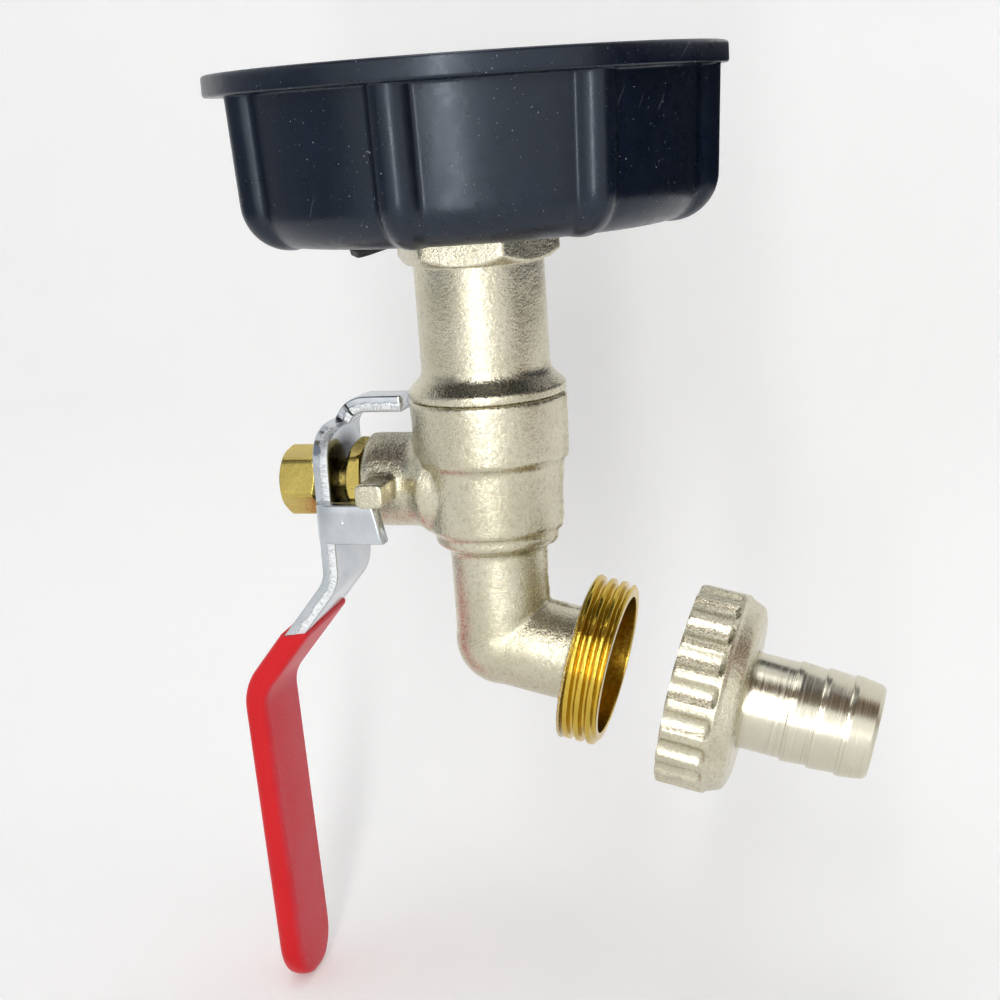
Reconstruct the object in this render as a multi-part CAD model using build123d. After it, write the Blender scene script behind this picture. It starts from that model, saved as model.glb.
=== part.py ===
from build123d import *

import os
from math import cos, radians, sin

# Tank valve on a screw cap, with its hose union taken off. Millimetres.
# The cap's axis is Z, its mouth faces up to the tank and the mouth's plane is z = 0.
# The valve hangs below. The stem points to -X and the outlet to +X.

# Screw cap with a coarse 60 mm thread
cap_rim_radius = 38.3
cap_rim_height = 3.1
cap_rim_round = 0.5
cap_height = 24.6
cap_top_radius = 35.2
cap_draft = 1.15
cap_base_round = 5.6
cap_floor = 3.2
cap_wall = 5.0
cap_thread_depth = 14.5
cap_thread_pitch = 6.0
cap_thread_start = -13.0
cap_groove_depth = 1.4
cap_groove_mouth = 3.2
cap_groove_root = 1.4
cap_relief = 0.4
rib_count = 8
rib_radius = 3.3
rib_proud = 2.2
rib_bend = 3.4
rib_foot_reach = 3.95
rib_foot_proud = 0.2
rib_first_angle = -89.4
gasket_width = 6.0
gasket_thickness = 2.0

# Inlet fitting, clamped through the cap's floor
inlet_thread_radius = 10.48
bore_radius = 5.2
thread_clearance = 0.05
hole_clearance = 0.12
washer_thickness = 0.9
washer_radius = 12.8
washer_tab_overlap = 0.5
washer_tab_length = 6.6
washer_tab_width = 9.5
washer_tab_round = 2.0
washer_tab_droop = 14.0
washer_tab_angle = 210.0
backnut_flats = 27.0
backnut_height = 5.0
backnut_washer_radius = 14.6
backnut_washer_thickness = 1.0
thread_end_reach = 0.4
thread_chamfer = 0.8
inlet_hex_flats = 22.0
inlet_hex_height = 3.6
inlet_hex_turn = 4.2
hex_chamfer_slope = 0.6
neck_radius = 9.9
neck_length = 20.5
flare_height = 3.6
flare_round = 2.4
flare_edge = 1.3
flare_edge_round = 0.9
spigot_radius = 10.0
spigot_length = 6.6

# Valve body, with heights measured down from the joint with the neck
band_radius = 12.15
band_draft = 0.2
band_height = 9.4
casting_round = 0.4
chamber_top_radius = 11.0
chamber_base_radius = 10.4
chamber_step = 1.0
chamber_depth = 20.6
bead_radius = 9.6
bead_step = 0.5
bead_height = 3.0
bead_land = 1.6
bead_round = 1.0
pipe_radius = 7.5
elbow_radius = 7.7
elbow_bore_radius = 5.35
elbow_depth = 38.96
outlet_droop = 13.7
collar_start = 12.4
collar_root = 1.0
collar_length = 6.2
outlet_thread_radius = 13.2
outlet_cup_radius = 10.95
outlet_cup_depth = 5.0

# Ball, seats and stem, with distances measured out from the flow axis
ball_depth = 13.4
ball_radius = 8.25
ball_bore_radius = 5.0
ball_clearance = 0.03
chamber_bore_radius = 9.0
seat_outer_offset = 6.8
seat_thickness = 1.9
seat_clearance = 0.05
slot_width = 3.0
slot_floor = 6.1
slot_clearance = 0.05
tang_gap = 0.2
tang_width = 6.4
stem_flange_start = 8.7
stem_flange_thickness = 1.4
stem_flange_radius = 4.6
stem_flange_clearance = 0.15
stem_radius = 3.5
stem_flats = 5.0
stem_clearance = 0.05
stem_thread_radius = 3.0
stem_thread_reach = 0.4
thrust_washer_thickness = 0.7
stem_wall = 2.8
boss_radius = 7.4
boss_reach = 19.7
boss_round = 0.9
boss_flare = 1.2
boss_flare_round = 3.0
packing_bore_radius = 5.4
packing_height = 2.8
gland_gap = 0.4
gland_hex_height = 2.3
gland_flats = 12.0
gland_turn = 12.4

# Stop lug on the side of the stem boss
lug_start = 13.6
lug_width = 4.4
lug_height = 3.8
lug_lift = 0.3
lug_reach = 13.4
lug_round = 0.9

# Lever plate, with distances out from the flow axis and up from the stem axis
plate = 2.6
lever_gap = 1.95
lever_width = 15.0
strip_width = 13.0
stop_clearance = 0.3
top_tab_rise = 12.8
top_tab_end = 15.3
top_bend = 5.5
hub_top = 9.5
hub_round = 6.0
hub_notch_round = 0.6
outline_round = 8.0
kick_start = -14.8
kick_end = -33.8
kick_reach = 15.9
kick_inner_bend = 4.5
kick_outer_bend = 9.3
lever_tip = -87.0
lever_lean = 1.7
tip_round = 6.2
side_tab_end = 15.4
side_tab_slant = 1.4
side_tab_height = 6.2
side_tab_round = 0.5
side_tab_gap = 0.1
side_tab_bend = 3.2
grip_coat = 0.65
grip_start = -22.4
lock_washer_radius = 5.0
lock_washer_thickness = 1.0
lever_nut_flats = 10.0
lever_nut_height = 6.0
lever_nut_turn = 15.5

# Hose union, along the outlet axis from the nut's mouth
union_gap = 10.0
union_nut_radius = 15.65
union_thread_clearance = 0.1
union_thread_depth = 6.0
union_gasket_thickness = 1.5
union_gasket_bore_radius = 6.2
tail_flange_thickness = 1.4
tail_flange_clearance = 0.3
swivel_play = 0.1
nut_lip = 1.8
nut_shoulder = 3.0
grip_count = 20
grip_cut_radius = 2.1
grip_cut_depth = 0.9
grip_cut_length = 7.0
nut_edge_round = 0.4
tail_radius = 7.55
tail_bore_radius = 5.8
tail_clearance = 0.3
barb_count = 3
barb_radius = 7.8
barb_land = 0.9
barb_start = 6.5
barb_pitch = 4.2
tail_end_radius = 7.3
tail_chamfer = 0.6

# Worked out from the sizes above
cap_base_radius = cap_top_radius - cap_draft
cap_thread_radius = cap_top_radius - cap_wall
cap_floor_top = cap_floor - cap_height
hex_top = -cap_height - washer_thickness
body_top = hex_top - inlet_hex_height - neck_length
ball_height = body_top - ball_depth
elbow_height = body_top - elbow_depth
thrust_washer_start = stem_flange_start + stem_flange_thickness
stem_wall_start = thrust_washer_start + thrust_washer_thickness
packing_start = stem_wall_start + stem_wall
gland_hex_start = boss_reach + gland_gap
lever_start = gland_hex_start + gland_hex_height + lever_gap
lever_face = lever_start + plate
lever_nut_start = lever_face + lock_washer_thickness
stem_end = lever_nut_start + lever_nut_height + stem_thread_reach
nut_thread_radius = outlet_thread_radius + union_thread_clearance
tail_flange_start = union_thread_depth + union_gasket_thickness
nut_lip_start = tail_flange_start + tail_flange_thickness + swivel_play
nut_length = nut_lip_start + nut_lip
seat_inner_offset = seat_outer_offset - seat_thickness

outlet_direction = (cos(radians(outlet_droop)), 0, -sin(radians(outlet_droop)))
stem_plane = Plane(origin=(0, 0, ball_height), x_dir=(0, 0, 1), z_dir=(-1, 0, 0))
side_plane = Plane(origin=(0, 0, ball_height), x_dir=(-1, 0, 0), z_dir=(0, 1, 0))
plan_plane = Plane(origin=(0, 0, ball_height), x_dir=(-1, 0, 0), z_dir=(0, 0, -1))
outlet_plane = Plane(origin=(0, 0, elbow_height), x_dir=(0, 1, 0), z_dir=outlet_direction)
union_start = collar_start + collar_length + union_gap
union_plane = outlet_plane.offset(union_start)


def rounded_face(*corners):
    """Face with straight sides, where each corner is (x, y, corner radius)."""
    points = [corner[:2] for corner in corners]
    radii = [corner[2] for corner in corners]
    return make_face(FilletPolyline(*points, radius=radii, close=True))


def turned(*corners):
    """Solid of revolution about Z, where each corner is (radius, height, corner radius)."""
    return revolve(Plane.XZ * rounded_face(*corners), Axis.Z)


def tube(outer, inner, start, end):
    """Ring or disc about Z between two heights; an inner radius of 0 makes it solid."""
    return turned((inner, start, 0), (outer, start, 0), (outer, end, 0), (inner, end, 0))


def hexagon(flats, start, end, chamfered_start=True, chamfered_end=True):
    """Hexagonal prism about Z with a corner on X, its corners chamfered at either end."""
    corner = flats / 3 ** 0.5
    bevel = corner - flats / 2
    slope = bevel * hex_chamfer_slope
    start_corners = [(corner, start, 0)]
    end_corners = [(corner, end, 0)]
    if chamfered_start:
        start_corners = [(corner - bevel, start, 0), (corner, start + slope, 0)]
    if chamfered_end:
        end_corners = [(corner, end - slope, 0), (corner - bevel, end, 0)]
    envelope = turned((0, start, 0), *start_corners, *end_corners, (0, end, 0))
    outline = RegularPolygon(flats / 2, 6, major_radius=False)
    return extrude(Plane.XY.offset(start) * outline, end - start) & envelope


def cap_rib():
    """Half-round grip rib that bends in under the cap at its foot."""
    inset = rib_proud - rib_radius
    foot_radius = cap_base_radius + inset
    foot_height = rib_radius - rib_foot_proud - cap_height
    path = Plane.XZ * FilletPolyline(
        (cap_top_radius + inset, -cap_rim_height / 2),
        (foot_radius, foot_height),
        (foot_radius - rib_foot_reach, foot_height),
        radius=rib_bend,
    )
    return sweep(Plane(origin=path @ 0, z_dir=path % 0) * Circle(rib_radius), path)


def cap_groove():
    """Coarse thread's groove, which winds up the bore and out at the mouth."""
    half_mouth = cap_groove_mouth / 2
    half_root = cap_groove_root / 2
    wound_height = cap_groove_mouth - cap_thread_start
    path = Helix(pitch=cap_thread_pitch, height=wound_height, radius=cap_thread_radius)
    section = make_face(Polyline(
        (-cap_relief, -half_mouth),
        (cap_groove_depth, -half_root),
        (cap_groove_depth, half_root),
        (-cap_relief, half_mouth),
        close=True,
    ))
    section_plane = Plane(origin=path @ 0, x_dir=(1, 0, 0), z_dir=(0, -1, 0))
    return Pos(0, 0, cap_thread_start) * sweep(section_plane * section, path=path, is_frenet=True)


def cap_shell():
    """Moulded cap: drafted wall with half-round grip ribs, a wide rim and a coarse thread."""
    wall = turned(
        (0, 0, 0),
        (cap_rim_radius, 0, cap_rim_round),
        (cap_rim_radius, -cap_rim_height, cap_rim_round),
        (cap_top_radius, -cap_rim_height, cap_rim_round),
        (cap_base_radius, -cap_height, cap_base_round),
        (0, -cap_height, 0),
    )
    rib = cap_rib()
    for index in range(rib_count):
        wall += Rot(0, 0, rib_first_angle + index * 360 / rib_count) * rib
    relief_radius = cap_thread_radius + cap_relief
    wall -= tube(cap_thread_radius, 0, -cap_thread_depth, 0)
    wall -= tube(relief_radius, 0, cap_floor_top, -cap_thread_depth)
    wall -= cap_groove()
    return wall - tube(inlet_thread_radius + hole_clearance, 0, -cap_height, cap_floor_top)


def cap_gasket():
    """Flat rubber ring on the cap's floor, which seals on the tank's spout."""
    outer = cap_thread_radius
    return tube(outer, outer - gasket_width, cap_floor_top, cap_floor_top + gasket_thickness)


def inlet_washer():
    """Rubber washer under the cap, with a drooping pull tab to one side."""
    inner = inlet_thread_radius + hole_clearance
    ring = tube(washer_radius, inner, hex_top, -cap_height)
    tab_outline = rounded_face(
        (0, -washer_tab_width / 2, 0),
        (washer_tab_length, -washer_tab_width / 2, washer_tab_round),
        (washer_tab_length, washer_tab_width / 2, washer_tab_round),
        (0, washer_tab_width / 2, 0),
    )
    tab = Rot(0, washer_tab_droop, 0) * extrude(tab_outline, washer_thickness)
    tab = Pos(washer_radius - washer_tab_overlap, 0, hex_top) * tab
    return ring + (Rot(0, 0, washer_tab_angle) * tab)


def backnut_washer():
    """Flat fibre washer under the backnut."""
    inner = inlet_thread_radius + hole_clearance
    top = cap_floor_top + backnut_washer_thickness
    return tube(backnut_washer_radius, inner, cap_floor_top, top)


def backnut():
    """Thin brass nut that clamps the fitting through the cap's floor."""
    start = cap_floor_top + backnut_washer_thickness
    end = start + backnut_height
    bore = tube(inlet_thread_radius + thread_clearance, 0, start, end)
    return hexagon(backnut_flats, start, end, chamfered_start=False) - bore


def inlet_connector():
    """Neck that joins the cap to the body: thread, hexagon, neck, flare and spigot."""
    hex_base = hex_top - inlet_hex_height
    thread_top = cap_floor_top + backnut_washer_thickness + backnut_height + thread_end_reach
    flare_top = body_top + flare_height
    spigot_end = body_top - spigot_length
    solid = turned(
        (0, thread_top, 0),
        (inlet_thread_radius - thread_chamfer, thread_top, 0),
        (inlet_thread_radius, thread_top - thread_chamfer, 0),
        (inlet_thread_radius, hex_top, 0),
        (neck_radius, hex_top, 0),
        (neck_radius, flare_top, flare_round),
        (band_radius, body_top + flare_edge, flare_edge_round),
        (band_radius, body_top, 0),
        (spigot_radius, body_top, 0),
        (spigot_radius, spigot_end, 0),
        (0, spigot_end, 0),
    )
    inlet_hex = hexagon(inlet_hex_flats, hex_base, hex_top, chamfered_end=False)
    solid += Rot(0, 0, inlet_hex_turn) * inlet_hex
    return solid - tube(bore_radius, 0, spigot_end, thread_top)


def body_casting():
    """Outside of the body: band, ball chamber, bead, stem boss, lug, elbow and collar."""
    chamber_base = body_top - chamber_depth
    bead_base = chamber_base - bead_height - bead_step
    solid = turned(
        (0, body_top, 0),
        (band_radius, body_top, casting_round),
        (band_radius - band_draft, body_top - band_height, casting_round),
        (chamber_top_radius, body_top - band_height - chamber_step, casting_round),
        (chamber_base_radius, chamber_base, casting_round),
        (bead_radius, chamber_base - bead_step, 0),
        (bead_radius, chamber_base - bead_step - bead_land, bead_round),
        (pipe_radius, bead_base, casting_round),
        (pipe_radius, elbow_height, 0),
        (0, elbow_height, 0),
    )
    boss_root = chamber_top_radius - boss_flare
    boss = turned(
        (0, 0, 0),
        (boss_radius + boss_flare, 0, 0),
        (boss_radius + boss_flare, boss_root, boss_round),
        (boss_radius, chamber_top_radius + boss_flare / 2, boss_flare_round),
        (boss_radius, boss_reach, boss_round),
        (0, boss_reach, 0),
    )
    solid += stem_plane * boss
    solid += stem_plane * stop_lug()
    solid += Pos(0, 0, elbow_height) * Sphere(elbow_radius)
    solid += outlet_plane * tube(pipe_radius, 0, 0, collar_start + collar_root)
    collar_end = collar_start + collar_length
    return solid + outlet_plane * turned(
        (0, collar_start, 0),
        (outlet_thread_radius, collar_start, casting_round),
        (outlet_thread_radius, collar_end, 0),
        (0, collar_end, 0),
    )


def stop_lug():
    """Square lug on the side of the stem boss that the lever's tabs stop against."""
    outline = rounded_face(
        (lug_lift - lug_height / 2, lug_start, lug_round),
        (lug_lift + lug_height / 2, lug_start, lug_round),
        (lug_lift + lug_height / 2, lug_start + lug_width, lug_round),
        (lug_lift - lug_height / 2, lug_start + lug_width, lug_round),
    )
    lug_root = boss_radius / 2
    lug_plane = Plane(origin=(0, -lug_root, 0), x_dir=(1, 0, 0), z_dir=(0, -1, 0))
    return extrude(lug_plane * outline, lug_reach - lug_root)


def body_passage():
    """Everything hollow in the body, from the neck's thread to the outlet cup."""
    ledge = ball_height - seat_outer_offset
    spigot_end = body_top - spigot_length
    space = tube(spigot_radius + thread_clearance, 0, spigot_end, body_top)
    space += tube(chamber_bore_radius, 0, ledge, spigot_end)
    space += tube(bore_radius, 0, elbow_height, ledge)
    space += Pos(0, 0, elbow_height) * Sphere(elbow_bore_radius)
    stem_hole = tube(stem_radius + stem_clearance, 0, stem_wall_start, boss_reach)
    flange_pocket_radius = stem_flange_radius + stem_flange_clearance
    stem_hole += tube(flange_pocket_radius, 0, ball_bore_radius, stem_wall_start)
    stem_hole += tube(packing_bore_radius, 0, packing_start, boss_reach)
    space += stem_plane * stem_hole
    collar_end = collar_start + collar_length
    outlet = tube(bore_radius, 0, 0, collar_end)
    outlet += tube(outlet_cup_radius, 0, collar_end - outlet_cup_depth, collar_end)
    return space + outlet_plane * outlet


def valve_body():
    """Cast body with its waterway, stem hole and outlet collar."""
    return body_casting() - body_passage()


def ball():
    """Ball with its bore along the flow and the stem's slot across the bore."""
    solid = Sphere(ball_radius) - Cylinder(ball_bore_radius, 2 * ball_radius)
    slot_depth = ball_radius - slot_floor
    slot = Pos(-slot_floor - slot_depth / 2, 0, 0) * Box(slot_depth, 2 * ball_radius, slot_width)
    return Pos(0, 0, ball_height) * (solid - slot)


def seat(side):
    """Plastic seat ring above (side 1) or below (side -1) the ball, cupped to fit it."""
    radius = chamber_bore_radius - seat_clearance
    ring = tube(radius, bore_radius, side * seat_inner_offset, side * seat_outer_offset)
    return Pos(0, 0, ball_height) * (ring - Sphere(ball_radius + ball_clearance))


def stem():
    """Stem with its tang, inner flange, shaft, flats for the lever and thread."""
    tang_start = slot_floor + tang_gap
    tang_length = stem_flange_start - tang_start
    tang_thickness = slot_width - 2 * slot_clearance
    tang = Box(tang_thickness, tang_width, tang_length, align=(Align.CENTER, Align.CENTER, Align.MIN))
    solid = Pos(0, 0, tang_start) * tang
    solid += tube(stem_flange_radius, 0, stem_flange_start, thrust_washer_start)
    solid += tube(stem_radius, 0, thrust_washer_start, lever_face)
    flat_depth = stem_radius - stem_flats / 2
    for side in (1, -1):
        flat_centre = side * (stem_flats + flat_depth) / 2
        flat_cut = Box(2 * stem_radius, flat_depth, plate)
        solid -= Pos(0, flat_centre, lever_start + plate / 2) * flat_cut
    solid += tube(stem_thread_radius, 0, lever_face, stem_end)
    return stem_plane * solid


def thrust_washer():
    """Slippery washer between the stem's flange and the body."""
    return stem_plane * tube(
        stem_flange_radius, stem_radius + stem_clearance, thrust_washer_start, stem_wall_start
    )


def stem_packing():
    """Packing ring that the gland nut presses round the stem."""
    outer = packing_bore_radius - thread_clearance
    return stem_plane * tube(
        outer, stem_radius + stem_clearance, packing_start, packing_start + packing_height
    )


def gland_nut():
    """Brass gland nut: threaded sleeve in the boss and a thin hexagon outside."""
    sleeve_start = packing_start + packing_height
    gland_end = gland_hex_start + gland_hex_height
    solid = tube(packing_bore_radius - thread_clearance, 0, sleeve_start, gland_hex_start)
    solid += Rot(0, 0, gland_turn) * hexagon(gland_flats, gland_hex_start, gland_end)
    return stem_plane * (solid - tube(stem_radius + stem_clearance, 0, sleeve_start, gland_end))


def lever_side():
    """Side view of the lever plate: the top tab, hub, kick and hand strip."""
    outer_face = FilletPolyline(
        (top_tab_end, top_tab_rise),
        (lever_face, top_tab_rise),
        (lever_face, kick_start),
        (lever_face + kick_reach, kick_end),
        (lever_face + kick_reach - lever_lean, lever_tip),
        radius=[top_bend, kick_inner_bend, kick_outer_bend],
    )
    return make_face(offset(outer_face, plate, side=Side.RIGHT))


def lever_front():
    """View of the lever along the stem, as (up, across)."""
    hub = lever_width / 2
    strip = strip_width / 2
    tab_edge = lug_lift + lug_height / 2 + stop_clearance
    above = top_tab_rise + plate
    return rounded_face(
        (above, tab_edge, 0),
        (above, hub, 0),
        (kick_start, hub, outline_round),
        (kick_end, strip, outline_round),
        (lever_tip, strip, tip_round),
        (lever_tip, -strip, tip_round),
        (kick_end, -strip, outline_round),
        (kick_start, -hub, outline_round),
        (hub_top, -hub, hub_round),
        (hub_top, tab_edge, hub_notch_round),
    )


def side_tab():
    """Tab bent in from the lever's near edge, which stops under the lug."""
    outside = boss_radius + side_tab_gap + plate
    bend = FilletPolyline(
        (lever_face, 0), (lever_face, -outside), (side_tab_end, -outside), radius=side_tab_bend
    )
    top = lug_lift - lug_height / 2 - stop_clearance
    base = top - side_tab_height
    strip = extrude(plan_plane * make_face(offset(bend, plate, side=Side.RIGHT)), -base)
    window = rounded_face(
        (lever_face, top, 0),
        (side_tab_end + side_tab_slant, top, side_tab_round),
        (side_tab_end, base, side_tab_round),
        (lever_face, base, 0),
    )
    return strip & extrude(side_plane * window, outside, both=True)


def lever_arm():
    """Plated steel lever, bent from one plate, with a hole for the stem's flats."""
    solid = extrude(side_plane * lever_side(), lever_width / 2, both=True)
    solid &= extrude(stem_plane * lever_front(), 2 * lever_face)
    solid += side_tab()
    hole = tube(stem_radius + stem_clearance, 0, lever_start, lever_face)
    flats = Box(2 * stem_radius + plate, stem_flats + 2 * stem_clearance, 2 * plate)
    hole &= Pos(0, 0, lever_start) * flats
    return solid - stem_plane * hole


def lever_grip():
    """Dipped plastic coat on the hand strip, closed round the tip."""
    side_view = offset(lever_side(), grip_coat)
    front_view = offset(lever_front(), grip_coat)
    coat = extrude(side_plane * side_view, lever_width, both=True)
    coat &= extrude(stem_plane * front_view, 2 * lever_face)
    below = Rectangle(-4 * lever_tip, -2 * lever_tip, align=(Align.CENTER, Align.MAX))
    coat &= extrude(side_plane * (Pos(0, grip_start) * below), lever_width, both=True)
    return coat - lever_arm()


def lock_washer():
    """Spring lock washer under the lever's nut."""
    return stem_plane * tube(
        lock_washer_radius, stem_thread_radius + hole_clearance, lever_face, lever_nut_start
    )


def lever_nut():
    """Brass nut that holds the lever on the stem."""
    end = lever_nut_start + lever_nut_height
    bore = tube(stem_thread_radius + thread_clearance, 0, lever_nut_start, end)
    outside = Rot(0, 0, lever_nut_turn) * hexagon(lever_nut_flats, lever_nut_start, end)
    return stem_plane * (outside - bore)


def union_nut():
    """Cast nut with grip recesses round it and a lip that holds the hose tail."""
    solid = turned(
        (tail_radius + tail_clearance, nut_lip_start, 0),
        (nut_thread_radius, nut_lip_start, 0),
        (nut_thread_radius, 0, 0),
        (union_nut_radius, 0, nut_edge_round),
        (union_nut_radius, nut_length, nut_shoulder),
        (tail_radius + tail_clearance, nut_length, 0),
    )
    cut_axis_radius = union_nut_radius + grip_cut_radius - grip_cut_depth
    cut = Cylinder(grip_cut_radius, grip_cut_length, align=(Align.CENTER, Align.CENTER, Align.MIN))
    cut += Pos(0, 0, grip_cut_length) * Sphere(grip_cut_radius)
    for index in range(grip_count):
        solid -= Rot(0, 0, index * 360 / grip_count) * (Pos(cut_axis_radius, 0, 0) * cut)
    return union_plane * solid


def union_gasket():
    """Flat rubber washer between the outlet's end and the tail's flange."""
    outer = nut_thread_radius - tail_flange_clearance
    return union_plane * tube(outer, union_gasket_bore_radius, union_thread_depth, tail_flange_start)


def hose_tail():
    """Turned tail with a flange, three sharp-edged barbs and a chamfered end."""
    flange_end = tail_flange_start + tail_flange_thickness
    flange_radius = nut_thread_radius - tail_flange_clearance
    outline = [
        (tail_bore_radius, tail_flange_start, 0),
        (flange_radius, tail_flange_start, 0),
        (flange_radius, flange_end, 0),
        (tail_radius, flange_end, 0),
    ]
    barb_edge = nut_length + barb_start
    for _ in range(barb_count):
        outline.append((tail_radius, barb_edge, 0))
        outline.append((barb_radius, barb_edge, 0))
        outline.append((barb_radius, barb_edge + barb_land, 0))
        barb_edge += barb_pitch
    outline.append((tail_end_radius, barb_edge, 0))
    outline.append((tail_end_radius - tail_chamfer, barb_edge + tail_chamfer, 0))
    outline.append((tail_bore_radius, barb_edge + tail_chamfer, 0))
    return union_plane * turned(*outline)


parts = {
    "cap_shell": cap_shell(),
    "cap_gasket": cap_gasket(),
    "inlet_washer": inlet_washer(),
    "backnut": backnut(),
    "backnut_washer": backnut_washer(),
    "inlet_connector": inlet_connector(),
    "valve_body": valve_body(),
    "ball": ball(),
    "upper_seat": seat(1),
    "lower_seat": seat(-1),
    "stem": stem(),
    "thrust_washer": thrust_washer(),
    "stem_packing": stem_packing(),
    "gland_nut": gland_nut(),
    "lever_arm": lever_arm(),
    "lever_grip": lever_grip(),
    "lock_washer": lock_washer(),
    "lever_nut": lever_nut(),
    "union_nut": union_nut(),
    "union_gasket": union_gasket(),
    "hose_tail": hose_tail(),
}

os.makedirs("parts", exist_ok=True)
for name, solid in parts.items():
    export_step(solid, f"parts/{name}.step")
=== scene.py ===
import bmesh
import bpy
import numpy as np
from mathutils import Matrix, Vector


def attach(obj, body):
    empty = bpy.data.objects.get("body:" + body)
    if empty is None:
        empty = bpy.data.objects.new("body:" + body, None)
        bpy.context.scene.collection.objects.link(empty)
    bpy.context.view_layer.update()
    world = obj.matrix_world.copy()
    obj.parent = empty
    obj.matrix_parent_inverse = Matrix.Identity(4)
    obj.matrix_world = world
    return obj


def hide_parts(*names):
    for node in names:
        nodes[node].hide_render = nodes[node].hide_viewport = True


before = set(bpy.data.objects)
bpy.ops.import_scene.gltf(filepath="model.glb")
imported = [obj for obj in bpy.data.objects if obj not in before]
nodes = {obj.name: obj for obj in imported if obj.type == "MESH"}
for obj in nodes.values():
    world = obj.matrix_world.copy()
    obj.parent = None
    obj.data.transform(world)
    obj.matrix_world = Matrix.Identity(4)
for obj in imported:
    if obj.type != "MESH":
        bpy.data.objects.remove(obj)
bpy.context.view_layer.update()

# ---- Screw cap ----------------------------------------------------------------------------------
# The cap is moulded in black plastic in one shot: a drafted wall with eight half-round grip ribs
# that bend in under the cap at their feet, a wide rim, and a coarse thread inside for the tank.

RIM_RADIUS, RIM_BASE = 38.3, -3.1
CAP_BASE, CAP_FLOOR = -24.6, -21.4
WALL_HEIGHT = 21.5
RIB_ROD = 3.3
RIB_SPACING, FIRST_RIB = np.radians(45), np.radians(-89.4)
NECK_HOLE = 10.6
TANK_PITCH, TANK_THREAD_DEPTH = 6.0, 1.4


def rounded_line(corners, step=0.5, arc_points=6, closed=True):
    """Profile through corners (a, b, round), in millimetres. Each corner gives way to an arc that
    touches both sides, and straight runs are divided evenly into lengths of at most one step."""
    corners = np.array(corners, float)
    count = len(corners)
    knots = []
    for index, (a, b, radius) in enumerate(corners):
        corner = np.array([a, b])
        if radius == 0 or (not closed and index in (0, count - 1)):
            knots.append(corner[None])
            continue
        back = corners[index - 1, :2] - corner
        ahead = corners[(index + 1) % count, :2] - corner
        back /= np.linalg.norm(back)
        ahead /= np.linalg.norm(ahead)
        half = np.arccos(np.clip(back @ ahead, -1, 1)) / 2
        middle = (back + ahead) / np.linalg.norm(back + ahead)
        centre = corner + middle * radius / np.sin(half)
        first = corner + back * radius / np.tan(half) - centre
        last = corner + ahead * radius / np.tan(half) - centre
        sweep = np.pi - 2 * half
        share = np.linspace(0, 1, arc_points)[:, None]
        arc = np.sin((1 - share) * sweep) * first + np.sin(share * sweep) * last
        knots.append(centre + arc / np.sin(sweep))
    knots = np.concatenate(knots)
    ends = np.roll(knots, -1, axis=0) if closed else knots[1:]
    starts = knots if closed else knots[:-1]
    runs = [
        start + (end - start) * np.arange(parts)[:, None] / parts
        for start, end, parts in zip(
            starts, ends, np.ceil(np.linalg.norm(ends - starts, axis=1) / step).astype(int)
        )
        if parts
    ]
    return np.concatenate(runs + ([] if closed else [knots[-1:]]))


def all_round(columns):
    """Angles of that many evenly spaced columns."""
    return np.arange(columns) * 2 * np.pi / columns


def turn(radius, height, columns):
    """Surface round Z: a point (r, h) of row i goes to (r cos a, r sin a, h) at each angle a.
    The radius and the height may also differ from one column to the next."""
    angle = all_round(columns)
    ones = np.ones_like(angle)
    return np.stack([radius * np.cos(angle), radius * np.sin(angle), height * ones], axis=-1)


def put_in_scene(name, data):
    """New object at the origin, with a mesh, a lamp or a camera in it."""
    thing = bpy.data.objects.new(name, data)
    bpy.context.scene.collection.objects.link(thing)
    return thing


def make_piece(name, grids, material, **measures):
    """Mesh whose four-sided faces join neighbouring points of each grid of rows and columns, both
    ways round. A row that is a single point makes a pole. Measures are numbers kept per point."""
    grids = grids if isinstance(grids, list) else [grids]
    points, faces, first = [], [], 0
    for grid in grids:
        rows, columns = grid.shape[:2]
        index = first + np.arange(rows * columns).reshape(rows, columns)
        right = np.roll(index, -1, axis=1)
        corners = [index, right, np.roll(right, -1, axis=0), np.roll(index, -1, axis=0)]
        quads = np.stack(corners, axis=-1).reshape(-1, 4)
        flat = grid.reshape(-1, 3)
        a, b, c, d = (flat[quads[:, k] - first] for k in range(4))
        volume = np.sum(np.cross(b - a, c - a) * a) + np.sum(np.cross(c - a, d - a) * a)
        faces.append(quads if volume > 0 else quads[:, ::-1])
        points.append(flat)
        first += rows * columns
    mesh = bpy.data.meshes.new(name)
    mesh.from_pydata(np.concatenate(points) * 0.001, [], np.concatenate(faces).tolist())
    for key, values in measures.items():
        layer = mesh.attributes.new(key, "FLOAT", "POINT")
        layer.data.foreach_set("value", np.ravel(values).astype(np.float32))
    work = bmesh.new()
    work.from_mesh(mesh)
    bmesh.ops.remove_doubles(work, verts=work.verts, dist=1e-6)
    work.to_mesh(mesh)
    work.free()
    mesh.polygons.foreach_set("use_smooth", np.ones(len(mesh.polygons), bool))
    mesh.materials.append(material)
    return put_in_scene(name, mesh)


def fill_sockets(tree, node, sockets):
    """Each socket, by number or name, gets a number, a colour or a link from another node."""
    for key, value in sockets:
        if isinstance(value, bpy.types.NodeSocket):
            tree.links.new(value, node.inputs[key])
        elif value is not None:
            node.inputs[key].default_value = value


def connect(tree, shader, **sockets):
    """Fills sockets by name, with underscores for the spaces."""
    fill_sockets(tree, shader, [(key.replace("_", " "), v) for key, v in sockets.items()])


def put(tree, kind, *ordered, settings=None, **named):
    """New shader node, with its options and its sockets, in their order or by name."""
    node = tree.nodes.new("ShaderNode" + kind)
    for key, value in (settings or {}).items():
        setattr(node, key, value)
    fill_sockets(tree, node, enumerate(ordered))
    connect(tree, node, **named)
    return node


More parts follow.
